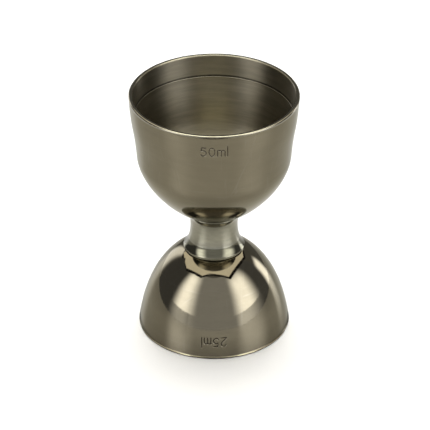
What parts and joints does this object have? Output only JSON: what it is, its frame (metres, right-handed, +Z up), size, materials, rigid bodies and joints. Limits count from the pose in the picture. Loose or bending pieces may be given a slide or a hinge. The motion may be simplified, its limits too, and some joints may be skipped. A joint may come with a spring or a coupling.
{
  "type": "bar jigger",
  "caption": "Double-ended bar jigger: a bell-shaped measuring cup over a smaller inverted dome cup, screwed together through a waisted neck with a flared collar.",
  "frame": {"origin": "centre of the lower cup's rim, on the surface that the jigger stands on", "axes": "+Z up along the axis of revolution, out of the larger cup's mouth; +X to the right and -Y towards the side that carries the capacity marks"},
  "size_m": [0.0554, 0.0554, 0.086],
  "materials": {
    "cup_metal": "polished warm grey plated steel outside, fine turned satin inside",
    "neck_metal": "turned warm grey plated steel",
    "screw_steel": "plain machined steel",
    "weld_metal": "weld bead with a slight heat tint",
    "seal_rubber": "black food-safe rubber"
  },
  "bodies": {
    "root": {"upper_cup": "cup_metal", "lower_cup": "cup_metal", "neck": "neck_metal", "stud": "screw_steel", "boss": "screw_steel", "stud_weld": "weld_metal", "boss_weld": "weld_metal", "upper_seal": "seal_rubber", "lower_seal": "seal_rubber"}
  },
  "joints": []
}
